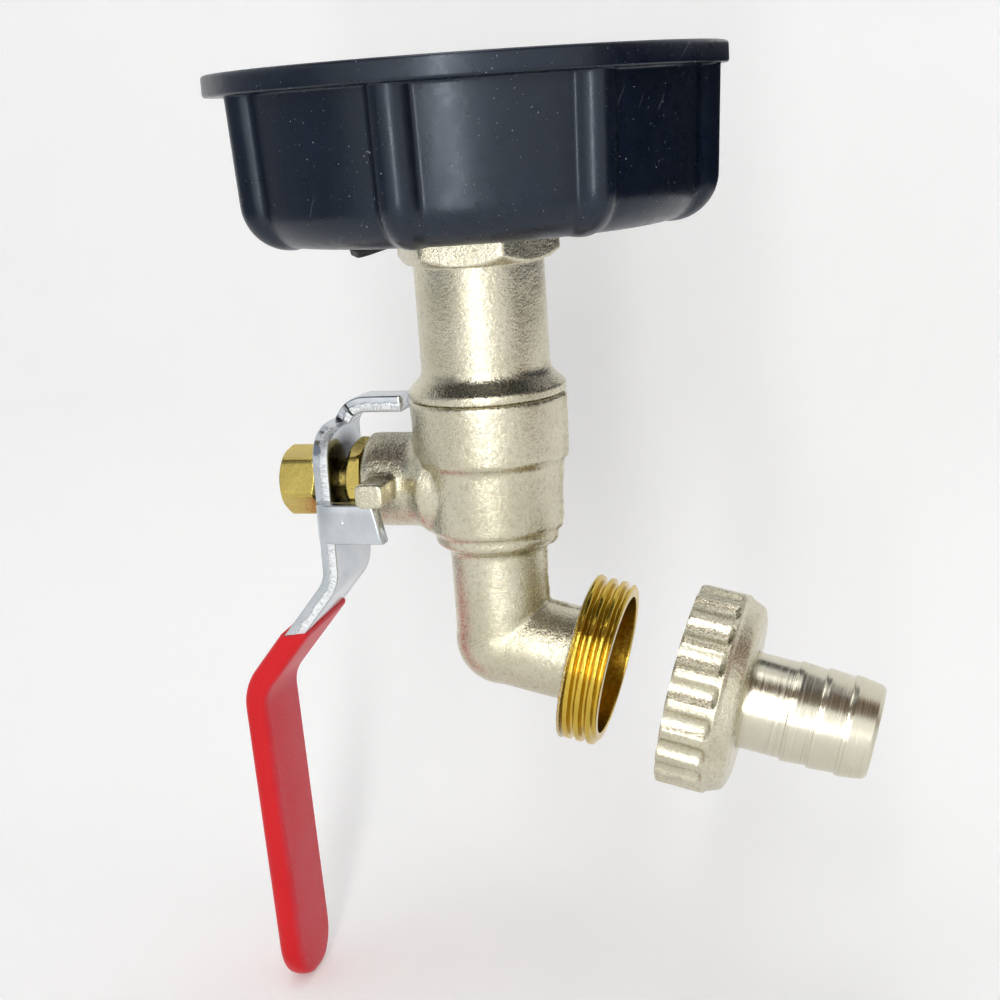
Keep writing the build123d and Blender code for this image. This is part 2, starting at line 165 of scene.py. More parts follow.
def new_finish(name):
    """New material, with its node tree, its shader and the piece's own coordinates."""
    material = bpy.data.materials.new(name)
    material.use_nodes = True
    tree = material.node_tree
    return material, tree, tree.nodes["Principled BSDF"], put(tree, "TexCoord").outputs["Object"]


def grain(tree, where, per_metre, detail=3.0, stretch=None, rough=0.5):
    """Noise from 0 to 1 with that many grains to a metre, closer together on a stretched axis."""
    if stretch:
        where = put(tree, "Mapping", where, Scale=stretch).outputs[0]
    noise = put(tree, "TexNoise", where, Scale=per_metre, Detail=detail, Roughness=rough)
    return noise.outputs["Fac"]


def between(tree, value, low, high, start=0.0, end=1.0):
    """Value taken from the range low to high onto start to end, and held there."""
    return put(tree, "MapRange", value, low, high, start, end).outputs[0]


def times(tree, first, second):
    """First number times the second."""
    return put(tree, "Math", first, second, settings={"operation": "MULTIPLY"}).outputs[0]


def either(tree, first, second):
    """The larger of two numbers."""
    return put(tree, "Math", first, second, settings={"operation": "MAXIMUM"}).outputs[0]


def tint(tree, share, first, second):
    """Colour between the first and the second by that share."""
    node = put(tree, "Mix", settings={"data_type": "RGBA"})
    fill_sockets(tree, node, ((0, share), (6, first), (7, second)))
    return node.outputs[2]


def relief(tree, height, depth_mm, under=None):
    """Bump of that depth where the height goes from 0 to 1, over another bump if one is given."""
    return put(tree, "Bump", Height=height, Distance=depth_mm * 0.001, Normal=under).outputs[0]


def smaller(first, second, blend):
    """Smooth minimum: the smaller of two distances, rounded where they meet within the blend."""
    share = np.clip(0.5 + 0.5 * (second - first) / blend, 0, 1)
    return second + (first - second) * share - blend * share * (1 - share)


def cornered(radius, height, top_radius, base_radius, base, rounding):
    """Distance outside a drafted wall above a flat base: the farther of the two, and in the round
    between them the length of both distances past the round's centre, less the rounding."""
    slope = (top_radius - base_radius) / WALL_HEIGHT
    outside = (radius - base_radius - (height - base) * slope) / np.hypot(1, slope) + rounding
    below = base - height + rounding
    corner = np.hypot(np.maximum(outside, 0), np.maximum(below, 0))
    return corner + np.minimum(np.maximum(outside, below), 0) - rounding


def cap_distance(radius, height, sideways):
    """Distance outside the cap's wall or the nearest rib. A rib is a rod along a path that turns
    under the cap, so at a sideways distance y it reaches out sqrt(rod^2 - y^2)."""
    wall = cornered(radius, height, 35.2, 34.05, CAP_BASE, 5.6)
    reach = np.sqrt(np.maximum(RIB_ROD**2 - sideways**2, 0))
    rib = cornered(radius, height, 34.1 + reach, 32.95 + reach, -21.5 - reach, 3.4 + reach)
    rib = np.maximum(rib, 29.0 - radius)
    return smaller(wall, rib, 0.5)


def cap_surface(columns=688):
    """Rows run up the threaded bore, over the rim, down the ribbed wall by level rays, round the
    base by a fan of rays, along the base and through the hole; each ray is halved until it ends
    where the cap's distance is zero."""
    angle = all_round(columns)
    sideways = np.sin((angle - FIRST_RIB + RIB_SPACING / 2) % RIB_SPACING - RIB_SPACING / 2)
    ray_start, fan_height = 28.6, -18.6

    def trace(from_radius, from_height, out, down):
        """Radius and height at which rays that start inside the wall come out of it."""
        far = np.full((len(out), columns), 14.0)
        near = np.zeros_like(far)
        for _ in range(30):
            half = (near + far) / 2
            radius = from_radius + half * out
            inside = cap_distance(radius, from_height - half * down, radius * sideways) < 0
            near, far = np.where(inside, half, near), np.where(inside, far, half)
        return from_radius + near * out, from_height - near * down

    level = np.ones((1, 1))
    under_rim = trace(ray_start, RIM_BASE, level, 0 * level)[0]
    fillet = np.clip((37.8 - under_rim) * 0.45, 0.1, 0.55)
    rows = []
    rise = np.linspace(CAP_FLOOR, -0.9, 36)[:, None]
    spiral = (rise + 13.0) / TANK_PITCH - angle / (2 * np.pi)
    groove = np.clip(0.5 + 0.9 * np.cos(2 * np.pi * spiral), 0, 1) * TANK_THREAD_DEPTH
    fade = np.clip((rise + 16.0) / 1.5, 0, 1)
    rows.append((30.2 + np.maximum(groove * fade, 0.4 * (1 - fade)), rise + 0 * groove))
    rim = rounded_line([(30.4, -0.7, 0), (31.2, 0, 0.2), (RIM_RADIUS, 0, 0.5),
                        (RIM_RADIUS, RIM_BASE, 0.5), (37.6, RIM_BASE, 0)], step=0.6, closed=False)
    rows.append((rim[:, :1], rim[:, 1:]))
    share = np.linspace(0, 1, 5)[1:, None]
    edge = under_rim + fillet
    rows.append((37.6 + (edge - 37.6) * share, RIM_BASE + 0 * share))
    bend = np.linspace(90, 0, 6)[1:, None] * np.pi / 180
    rows.append((under_rim + fillet * (1 - np.cos(bend)), RIM_BASE - fillet * (1 - np.sin(bend))))
    top = RIM_BASE - fillet
    share = np.linspace(0, 1, 22)[1:, None]
    rows.append(trace(ray_start, top + (fan_height - top) * share, np.ones_like(share), 0 * share))
    fan = np.radians(np.linspace(0, 90, 18)[1:, None])
    rows.append(trace(ray_start, fan_height, np.cos(fan), np.sin(fan)))
    drop = np.linspace(28.3, 27.0, 5)[:, None]
    rows.append(trace(drop, fan_height, 0 * drop, np.ones_like(drop)))
    hole = rounded_line([(26.0, CAP_BASE, 0), (NECK_HOLE, CAP_BASE, 0.2),
                         (NECK_HOLE, CAP_FLOOR, 0.2), (30.0, CAP_FLOOR, 0)], step=5.0,
                        closed=False)
    rows.append((hole[:, :1], hole[:, 1:]))
    return np.concatenate([turn(radius, height, columns) for radius, height in rows])


def black_plastic():
    """Moulded black plastic: blue-black, satin, with fine grain, hair scratches, pointed edges
    lightened as rubbed wear and as a painted edge highlight, and specks of dust."""
    material, tree, shader, where = new_finish("black_plastic")
    fine = grain(tree, where, 2600, 4)
    cloud = grain(tree, where, 60, 3)
    scratch = None
    for turn_by, gate in ((0.5, 0.60), (-0.35, 0.57), (1.25, 0.62)):  # turned, and how sparse
        tilted = put(tree, "Mapping", where, Rotation=(0, turn_by, 0)).outputs[0]
        hair = grain(tree, tilted, 60, 1, stretch=(60, 4, 1))
        hair = between(tree, hair, 0.71, 0.73)
        hair = times(tree, hair, between(tree, grain(tree, tilted, 45, 1), gate, gate + 0.03))
        scratch = either(tree, scratch, hair) if scratch else hair
    dust = times(tree, between(tree, grain(tree, where, 3600, 0), 0.82, 0.85),
                 between(tree, grain(tree, where, 80, 2), 0.42, 0.58))
    # Painted edge highlight, also standing for rubbed wear: pointed edges are tinted lighter grey.
    worn_and_edge_highlight = between(tree, put(tree, "NewGeometry").outputs["Pointiness"], 0.53, 0.60)
    worn_and_edge_highlight = times(tree, worn_and_edge_highlight, between(tree, grain(tree, where, 700, 3), 0.4, 0.7))
    base = tint(tree, between(tree, cloud, 0.35, 0.65), (0.002, 0.005, 0.014, 1),
                (0.004, 0.008, 0.020, 1))
    base = tint(tree, times(tree, worn_and_edge_highlight, 0.35), base, (0.12, 0.13, 0.15, 1))
    base = tint(tree, times(tree, scratch, 0.4), base, (0.16, 0.17, 0.20, 1))
    base = tint(tree, times(tree, dust, 0.8), base, (0.42, 0.44, 0.47, 1))
    bump = relief(tree, fine, 0.010)
    bump = relief(tree, grain(tree, where, 240, 3), 0.04, bump)
    bump = relief(tree, scratch, -0.01, bump)
    satin = between(tree, grain(tree, where, 420, 4), 0.3, 0.7, 0.24, 0.36)
    connect(tree, shader, Base_Color=base, Roughness=either(tree, satin, times(tree, dust, 0.8)),
            Normal=bump, Specular_IOR_Level=0.55, Specular_Tint=(0.80, 0.89, 1, 1))
    return material


cap = make_piece("screw_cap", cap_surface(), black_plastic())
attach(cap, "valve")
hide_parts("cap_shell")

# ---- Rubber seals -------------------------------------------------------------------------------
# Two rubber rings are punched from sheet: one lies on the cap's floor against the tank, and one is
# squeezed under the cap, where its pull tab shows beside the hexagon.


def black_rubber():
    """Dull black sheet rubber with a fine pitted skin and a little pale bloom."""
    material, tree, shader, where = new_finish("black_rubber")
    pits = grain(tree, where, 1900, 5, rough=0.65)
    bloom = between(tree, grain(tree, where, 300, 4), 0.5, 0.75)
    base = tint(tree, bloom, (0.006, 0.006, 0.007, 1), (0.03, 0.03, 0.032, 1))
    connect(tree, shader, Base_Color=base, Roughness=between(tree, pits, 0.3, 0.7, 0.45, 0.75),
            Normal=relief(tree, pits, 0.12))
    return material


def dress(node, material):
    """Gives a CAD solid that keeps its shape its material."""
    nodes[node].data.materials.clear()
    nodes[node].data.materials.append(material)


rubber = black_rubber()
dress("cap_gasket", rubber)
dress("inlet_washer", rubber)

# ---- Inlet connector ----------------------------------------------------------------------------
# The neck is hot pressed brass, nickel plated over a blasted skin. Its threaded end passes through
# the cap's floor, its hexagon bears on the cap, and its flare closes the valve body.

THREAD_PITCH = 1.814
THREAD_DEPTH = 1.16


def thread_tooth(along, angle, pitch=THREAD_PITCH):
    """Tooth height from 0 to 1: a cosine of the distance along the axis less one pitch a turn,
    raised until its crests and roots are cut flat."""
    turns = along / pitch - angle / (2 * np.pi)
    return np.clip(0.5 + 0.72 * np.cos(2 * np.pi * turns), 0, 1)


def hexagon_radius(angle, flats, corner_angle=0.0):
    """Distance from the axis to a hexagon's side: half the width over the cosine of the angle from
    the middle of that side."""
    sixth = np.pi / 3
    from_side = (angle - corner_angle) % sixth - sixth / 2
    return flats / 2 / np.cos(from_side)


def spun(line, columns):
    """Angles of the columns, a turned outline's radius at each of them, and its height."""
    angle = all_round(columns)
    return angle, line[:, :1] + 0 * angle, line[:, 1:]


def connector_surface(columns=280):
    """Rows follow the turned outline; the thread and the hexagon are radii worked out per angle,
    and where they are inside the outline they take its place."""
    line = rounded_line([
        (5.2, -15.0, 0.2), (9.6, -15.0, 0.1), (10.48, -15.9, 0.1), (10.48, -25.5, 0),
        (12.5, -25.5, 0.25), (12.6, -27.9, 0.5), (11.1, -29.1, 0.35), (9.9, -29.25, 0.35),
        (9.88, -46.0, 2.6), (12.12, -48.2, 0.9), (12.1, -49.42, 0.35), (11.5, -49.6, 0),
        (10.0, -49.6, 0), (10.0, -56.2, 0.2), (5.2, -56.2, 0.2),
    ], step=0.35, arc_points=8)
    angle, radius, height = spun(line, columns)
    outer = radius > 9.0
    threaded = outer & (height > -25.0) & (height < -15.2)
    tooth = thread_tooth(height, angle)
    radius = np.where(threaded, np.minimum(radius, 9.32 + THREAD_DEPTH * tooth), radius)
    hexagon = (height <= -25.49) & (height > -29.24) & (radius > 9.9)
    side = hexagon_radius(angle, 22.0, np.radians(4.2))
    radius = np.where(hexagon, smaller(radius, side, 0.35), radius)
    return turn(radius, height, columns)


def nickel_plate():
    """Blasted nickel plate: warm silver with a sandy, glinting grain and dark flecks."""
    material, tree, shader, where = new_finish("nickel_plate")
    sand = grain(tree, where, 2900, 3, rough=0.6)
    coarse = grain(tree, where, 1300, 3)
    cloud = grain(tree, where, 110, 3)
    base = tint(tree, between(tree, cloud, 0.35, 0.65), (0.60, 0.56, 0.42, 1),
                (0.69, 0.65, 0.51, 1))
    base = tint(tree, times(tree, between(tree, coarse, 0.48, 0.32), 0.30), base,
                (0.36, 0.31, 0.21, 1))
    bump = relief(tree, sand, 0.085)
    bump = relief(tree, coarse, 0.075, bump)
    bump = relief(tree, grain(tree, where, 160, 2), 0.22, bump)
    satin = between(tree, sand, 0.3, 0.7, 0.20, 0.32)
    connect(tree, shader, Base_Color=base, Metallic=1.0, Roughness=satin, Normal=bump)
    return material


nickel = nickel_plate()
connector = make_piece("inlet_neck", connector_surface(), nickel)
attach(connector, "valve")
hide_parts("inlet_connector")

# ---- Backnut and its washer ---------------------------------------------------------------------
# Inside the cap a thin brass nut on a fibre washer clamps the neck. The nut is sawn from hexagon
# bar, chamfered at both ends and threaded.


def hexagon_nut(flats, start, end, bore, pitch, corner_angle=0.0, columns=300):
    """Nut about Z. Its side is the smaller of the hexagon's radius and a chamfer cone that closes
    in by 1.7 for each 1 along the axis; the bore is a screw surface."""
    corner = flats / 3**0.5
    bevel = (corner - flats / 2) * 1.05
    angle = all_round(columns)
    rise = np.linspace(start, end, 44)[:, None]
    near_end = (end - rise) * 1.7 + corner - bevel
    near_start = (rise - start) * 1.7 + corner - bevel
    side = hexagon_radius(angle, flats, corner_angle)
    side = smaller(smaller(near_end, near_start, 0.3), side, 0.12)
    edge = smaller(side, corner - 0.15, 0.2)
    depth = 0.61 * pitch
    threaded = bore - depth * thread_tooth(rise, angle, pitch)
    lead = np.maximum(0, 0.6 - np.minimum(rise - start, end - rise)) * 1.2
    threaded = np.minimum(np.maximum(threaded, bore - depth + lead), bore)
    share = np.linspace(0, 1, 7)[1:-1, None]
    top = edge[-1:] + (threaded[-1:] - edge[-1:]) * share
    base = threaded[:1] + (edge[:1] - threaded[:1]) * share
    radius = np.concatenate([edge, top, threaded[::-1], base])
    height = np.concatenate([rise, 0 * share + end, rise[::-1], 0 * share + start])
    return turn(radius, height, columns)


def brass_finish(name, tone, dark, rough_low, rough_high):
    """Bare machined brass: yellow, with brown tarnish in hollows and pits, and a fine grain."""
    material, tree, shader, where = new_finish(name)
    cloud = grain(tree, where, 230, 4)
    fine = grain(tree, where, 1800, 4)
    pits = between(tree, grain(tree, where, 2400, 1), 0.30, 0.25)
    hollow = between(tree, put(tree, "NewGeometry").outputs["Pointiness"], 0.47, 0.40)
    base = tint(tree, between(tree, cloud, 0.35, 0.7), tone, [c * 0.85 for c in tone[:3]] + [1])
    base = tint(tree, times(tree, hollow, 0.8), base, dark)
    base = tint(tree, times(tree, pits, 0.7), base, dark)
    bump = relief(tree, fine, 0.02)
    bump = relief(tree, grain(tree, where, 500, 3), 0.05, bump)
    connect(tree, shader, Base_Color=base, Metallic=1.0, Normal=bump,
            Roughness=between(tree, fine, 0.3, 0.7, rough_low, rough_high))
    return material


brass = brass_finish("brass", (0.60, 0.47, 0.13, 1), (0.18, 0.12, 0.03, 1), 0.18, 0.30)
backnut = make_piece("backnut_turned", hexagon_nut(27.0, -20.4, -15.4, 10.53, THREAD_PITCH), brass)
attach(backnut, "valve")
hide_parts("backnut")


def fibre():
    """Pressed fibre or nylon: pale, matt and slightly mottled."""
    material, tree, shader, where = new_finish("nylon")
    fine = grain(tree, where, 1500, 4)
    base = tint(tree, grain(tree, where, 260, 3), (0.52, 0.49, 0.42, 1), (0.66, 0.63, 0.56, 1))
    connect(tree, shader, Base_Color=base, Roughness=between(tree, fine, 0.3, 0.7, 0.45, 0.65),
            Normal=relief(tree, fine, 0.03))
    return material


dress("backnut_washer", fibre())

# ---- Valve body ---------------------------------------------------------------------------------
# The body is cast brass, blasted and nickel plated. The cast skin has soft inner corners and a low
# ridge where the two halves of the mould met. Its outlet collar is machined bare after plating.

BALL_HEIGHT = -63.0
ELBOW = np.array([0, 0, -88.56])
DROOP = np.radians(13.7)
OUTLET = np.array([np.cos(DROOP), 0, -np.sin(DROOP)])
OUTLET_UP = np.array([np.sin(DROOP), 0, np.cos(DROOP)])


def along_outlet(points, start=0.0):
    """Turns points about Z into the outlet's own frame: Z goes to the axis, X to +Y."""
    sideways = np.array([0, 1, 0])
    return (ELBOW + points[..., :1] * sideways + points[..., 1:2] * OUTLET_UP
            + (points[..., 2:] + start) * OUTLET)


def along_stem(points):
    """Turns points about Z into the stem's own frame: Z goes to -X, and X goes up."""
    return np.stack([-points[..., 2], points[..., 1], points[..., 0] + BALL_HEIGHT], axis=-1)


def cast_body():
    """Copy of the body's solid, cut off behind the machined collar, rebuilt at 0.31 mm and
    smoothed, and then raised by a bell curve of the distance from the mould's parting plane."""
    mesh = nodes["valve_body"].data.copy()
    work = bmesh.new()
    work.from_mesh(mesh)
    bmesh.ops.remove_doubles(work, verts=work.verts, dist=1e-6)
    everything = work.verts[:] + work.edges[:] + work.faces[:]
    cut = bmesh.ops.bisect_plane(
        work, geom=everything, plane_co=Vector((ELBOW + 13.0 * OUTLET) * 0.001),
        plane_no=Vector(OUTLET), clear_outer=True, dist=1e-7,
    )["geom_cut"]
    rims = [item for item in cut if isinstance(item, bmesh.types.BMEdge)]
    bmesh.ops.triangle_fill(work, edges=rims, use_beauty=True, use_dissolve=False)
    bmesh.ops.recalc_face_normals(work, faces=work.faces)
    work.to_mesh(mesh)
    work.free()
    mesh.materials.clear()
    mesh.materials.append(nickel)
    piece = put_in_scene("cast_body", mesh)
    rebuild = piece.modifiers.new("rebuild", "REMESH")
    rebuild.mode = "VOXEL"
    rebuild.voxel_size = 0.00031
    rebuild.use_smooth_shade = True
    soften = piece.modifiers.new("soften", "SMOOTH")
    soften.factor = 0.5
    soften.iterations = 6
    shape = bpy.data.meshes.new_from_object(
        piece.evaluated_get(bpy.context.evaluated_depsgraph_get())
    )
    piece.modifiers.clear()
    piece.data = shape
    count = len(shape.vertices)
    place, out = np.empty(count * 3), np.empty(count * 3)
    shape.vertices.foreach_get("co", place)
    shape.vertex_normals.foreach_get("vector", out)
    place, out = place.reshape(-1, 3), out.reshape(-1, 3)
    half_width, full_ridge, trimmed_ridge = 0.0005, 0.00040, 0.00012
    across = (place[:, 1] - 0.0002 * np.sin(place[:, 2] * 900)) / half_width
    outside = (np.hypot(place[:, 0], place[:, 1]) > 0.0070) | (place[:, 2] < -0.088)
    behind_collar = (place - ELBOW * 0.001) @ OUTLET < 0.0112
    flat = (np.abs(out[:, 1]) < 0.5) & behind_collar
    ripple = 0.8 + 0.2 * np.sin(place[:, 2] * 5200) * np.sin(place[:, 2] * 2100 + 1)
    height = np.where(place[:, 0] > 0, full_ridge, trimmed_ridge)
    ridge = height * np.exp(-(across**4)) * outside * flat * ripple
    place += out * ridge[:, None]
    shape.vertices.foreach_set("co", place.ravel())
    shape.update()
    return piece


body = cast_body()
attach(body, "valve")
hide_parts("valve_body")


def collar_surface(columns=360):
    """Machined collar: a screw surface outside that runs out at the mouth's chamfer, a flat mouth,
    and a plain cup inside with its floor."""
    line = rounded_line([
        (5.3, 12.65, 0), (13.15, 12.65, 0.2), (13.2, 18.6, 0.12), (10.92, 18.6, 0.12),
        (10.92, 13.58, 0.15), (5.3, 13.58, 0.1),
    ], step=0.13, arc_points=5)
    angle, radius, height = spun(line, columns)
    tooth = 12.04 + THREAD_DEPTH * thread_tooth(height, angle)
    lead = 13.0 - np.maximum(0, height - 18.1) * 1.3
    outer = radius > 12.0
    radius = np.where(outer & (height > 12.9), np.minimum(np.minimum(radius, tooth), lead), radius)
    return along_outlet(turn(radius, height, columns))


bright_brass = brass_finish("bright_brass", (0.66, 0.46, 0.07, 1), (0.16, 0.08, 0.01, 1),
                            0.14, 0.26)
collar = make_piece("outlet_thread", collar_surface(), bright_brass)
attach(collar, "valve")

# ---- Ball, seats and stem -----------------------------------------------------------------------
# A chromed ball turns between two slippery plastic seats. The brass stem drives it by a tang in a
# slot, and is sealed by a thrust washer and a packing ring.


def chrome_plate():
    """Bright chrome with faint hazy patches and hairlines."""
    material, tree, shader, where = new_finish("chrome_plate")
    haze = grain(tree, where, 300, 3)
    lines = grain(tree, where, 900, 2, stretch=(1, 1, 12))
    base = tint(tree, haze, (0.62, 0.63, 0.64, 1), (0.72, 0.73, 0.74, 1))
    connect(tree, shader, Base_Color=base, Metallic=1.0, Normal=relief(tree, lines, 0.004),
            Roughness=between(tree, haze, 0.3, 0.7, 0.06, 0.14))
    return material


def slippery_plastic():
    """White slippery plastic, waxy and slightly mottled."""
    material, tree, shader, where = new_finish("ptfe")
    fine = grain(tree, where, 1200, 3)
    base = tint(tree, grain(tree, where, 200, 3), (0.70, 0.70, 0.68, 1), (0.80, 0.80, 0.78, 1))
    connect(tree, shader, Base_Color=base, Roughness=between(tree, fine, 0.3, 0.7, 0.35, 0.5),
            Normal=relief(tree, fine, 0.02), Subsurface_Weight=0.1)
    return material


dress("ball", chrome_plate())
waxy = slippery_plastic()
for seal in ("upper_seat", "lower_seat", "thrust_washer", "stem_packing"):
    dress(seal, waxy)
dress("stem", brass)

# ---- Gland nut ----------------------------------------------------------------------------------
# The brass gland nut screws into the boss and presses the packing round the stem. Only its thin
# hexagon shows between the boss and the lever.


def gland_surface(columns=300):
    """A plain sleeve in the boss joined to a rounded hexagon; both are rows about one axis."""
    line = rounded_line([
        (3.55, 16.5, 0), (5.3, 16.5, 0.2), (5.3, 20.1, 0), (6.6, 20.1, 0.2), (6.75, 20.6, 0.25),
        (6.75, 21.7, 0.3), (5.9, 22.4, 0.3), (3.55, 22.4, 0.2),
    ], step=0.25)
    angle, radius, height = spun(line, columns)
    side = hexagon_radius(angle, 12.0, np.radians(12.4))
    radius = np.where(height > 20.09, smaller(radius, side, 0.18), radius)
    return along_stem(turn(radius, height, columns))


gland = make_piece("gland_hexagon", gland_surface(), brass)
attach(gland, "valve")
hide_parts("gland_nut")

# ---- Lever --------------------------------------------------------------------------------------
# The lever is pressed from 2.6 mm steel plate and bright plated: a top tab and a side tab bent over
# the boss, a kick, and a hand strip. Its sheared edges are rough.

PLATE = 2.6
LEVER_FACE = 26.95
TOP_TAB_END = 15.3
TIP_ROUND = 6.4
EDGE_ROUND = 0.28
lever_line = rounded_line([
    (TOP_TAB_END, 12.8, 0), (LEVER_FACE, 12.8, 5.5), (LEVER_FACE, -14.8, 4.5),
    (LEVER_FACE + 15.9, -33.8, 9.3), (LEVER_FACE + 14.2, -87.0, 0),
], step=0.5, arc_points=16, closed=False)


def plate_loft(line, low, high, front, back, soft, arc=5):
    """Plate along a bent path. Each section is a rounded rectangle, across from low to high and
    from front to back of the path's outer face. Gives the points and, for each, whether it is on
    an edge, how deep it is in the plate and how far along the path."""
    step = np.gradient(line, axis=0)
    step /= np.linalg.norm(step, axis=1, keepdims=True)
    out = np.stack([-step[:, 1], step[:, 0]], axis=1)
    turns = np.radians(np.linspace(0, 90, arc))
    sides, depths, over, under, edges = [], [], [], [], []
    for quarter, (side, depth) in enumerate([(1, 0), (0, 0), (0, 1), (1, 1)]):
        around = turns + quarter * np.pi / 2
        sides.append(np.full(arc, side))
        depths.append(np.full(arc, depth))
        over.append(np.cos(around) + (1 - 2 * side))
        under.append(np.sin(around) + (2 * depth - 1))
        edges.append(np.abs(np.cos(around)))
    side, depth, over, under, edge = map(np.concatenate, (sides, depths, over, under, edges))
    low, high, front, back, soft = (np.broadcast_to(v, len(line))[:, None]
                                    for v in (low, high, front, back, soft))
    across = low + (high - low) * side + soft * over
    away = front + (back - front) * depth + soft * under
    points = np.stack([line[:, :1] + out[:, :1] * away, line[:, 1:] + out[:, 1:] * away, across],
                      axis=-1)
    ends = [np.broadcast_to(points[i].mean(0), points[i].shape) for i in (0, -1)]
    run = np.concatenate([[0], np.cumsum(np.linalg.norm(np.diff(line, axis=0), axis=1))])
    deep = (away - front) / (back - front)
    deep = np.concatenate([deep[:1], deep, deep[-1:]])
    points = np.concatenate([ends[0][None], points, ends[1][None]])
    run = np.concatenate([run[:1], run, run[-1:]])[:, None]
    measures = {"edge": np.broadcast_to(edge, deep.shape), "deep": deep,
                "run": np.broadcast_to(run, deep.shape) * 0.001}
    return points, measures


def outline_width():
    """Half width of the lever against the height above the stem, with the tip's round."""
    half = rounded_line([(20, 7.5, 0), (-14.8, 7.5, 8), (-33.8, 6.5, 8), (-87.0, 6.5, 6.2),
                         (-87.0, 0.05, 0)], step=0.4, arc_points=14, closed=False)
    return half[::-1]


def divide(line, lengths):
    """Points of a path at the given distances along it."""
    steps = np.linalg.norm(np.diff(line, axis=0), axis=1)
    reach = np.concatenate([[0], np.cumsum(steps)])
    return np.stack([np.interp(lengths, reach, line[:, k]) for k in (0, 1)], axis=1), reach[-1]


def lever_surface():
    """Main strip and side tab, each a rounded rectangle carried along a bent path. The strip's far
    side steps in beside the top tab through the corner points of a notch, which are added to the
    rows, and both sides close in round the tip. The side tab's end is cut on a slant."""
    reach = divide(lever_line, [0])[1]
    bunched = reach - TIP_ROUND * (1 - np.sin(np.linspace(0, np.pi / 2, 22)))
    lengths = np.concatenate([np.arange(0, reach - TIP_ROUND, 0.45), bunched])
    line = divide(lever_line, lengths)[0]
    width = outline_width()
    high = np.interp(line[:, 1], width[:, 0], width[:, 1])
    low = -high
    notch = rounded_line([(-5, -7.5, 0), (9.5, -7.5, 6.0), (9.5, 2.5, 0.6), (14, 2.5, 0)],
                         step=0.5, arc_points=10, closed=False)
    upright = (line[:, 1] > 3.0) | (lengths < 8)
    upper = line[upright][::-1]
    climb = np.maximum.accumulate(notch[:, 0] + np.arange(len(notch)) * 1e-6)
    at = np.interp(climb, upper[:, 1] + np.arange(len(upper)) * 1e-7, lengths[upright][::-1])
    stepped = climb < 12.0
    at, sides = at[stepped], notch[stepped, 1]
    plain = lengths < at[-1]
    body = lengths > at[0]
    lengths = np.concatenate([lengths[plain], at[::-1], lengths[body]])
    low = np.concatenate([np.full(plain.sum(), 2.5), sides[::-1], low[body]])
    line = divide(lever_line, lengths + np.arange(len(lengths)) * 1e-6)[0]
    high = np.interp(line[:, 1], width[:, 0], width[:, 1])
    soft = np.minimum(EDGE_ROUND, (high - low) * 0.45)
    strip, strip_marks = plate_loft(line, low, high, 0.0, -PLATE, soft)
    strip = np.stack([-strip[..., 0], strip[..., 2], strip[..., 1] + BALL_HEIGHT], axis=-1)
    bend = rounded_line([(LEVER_FACE, -4.0, 0), (LEVER_FACE, -10.1, 3.2), (15.4, -10.1, 0)],
                        step=0.5, arc_points=14, closed=False)
    bend[:, 0] = np.maximum(bend[:, 0], 15.4)
    tab, tab_marks = plate_loft(bend, -8.1, -1.9, 0.0, -PLATE, EDGE_ROUND)
    slant = np.clip((18.0 - tab[..., 0]) / 2.6, 0, 1) * 1.4 * (tab[..., 2] + 8.1) / 6.2
    tab[..., 0] += slant
    tab = np.stack([-tab[..., 0], tab[..., 1], tab[..., 2] + BALL_HEIGHT], axis=-1)
    marks = {key: np.concatenate([strip_marks[key].ravel(), tab_marks[key].ravel()])
             for key in strip_marks}
    return [strip, tab], marks


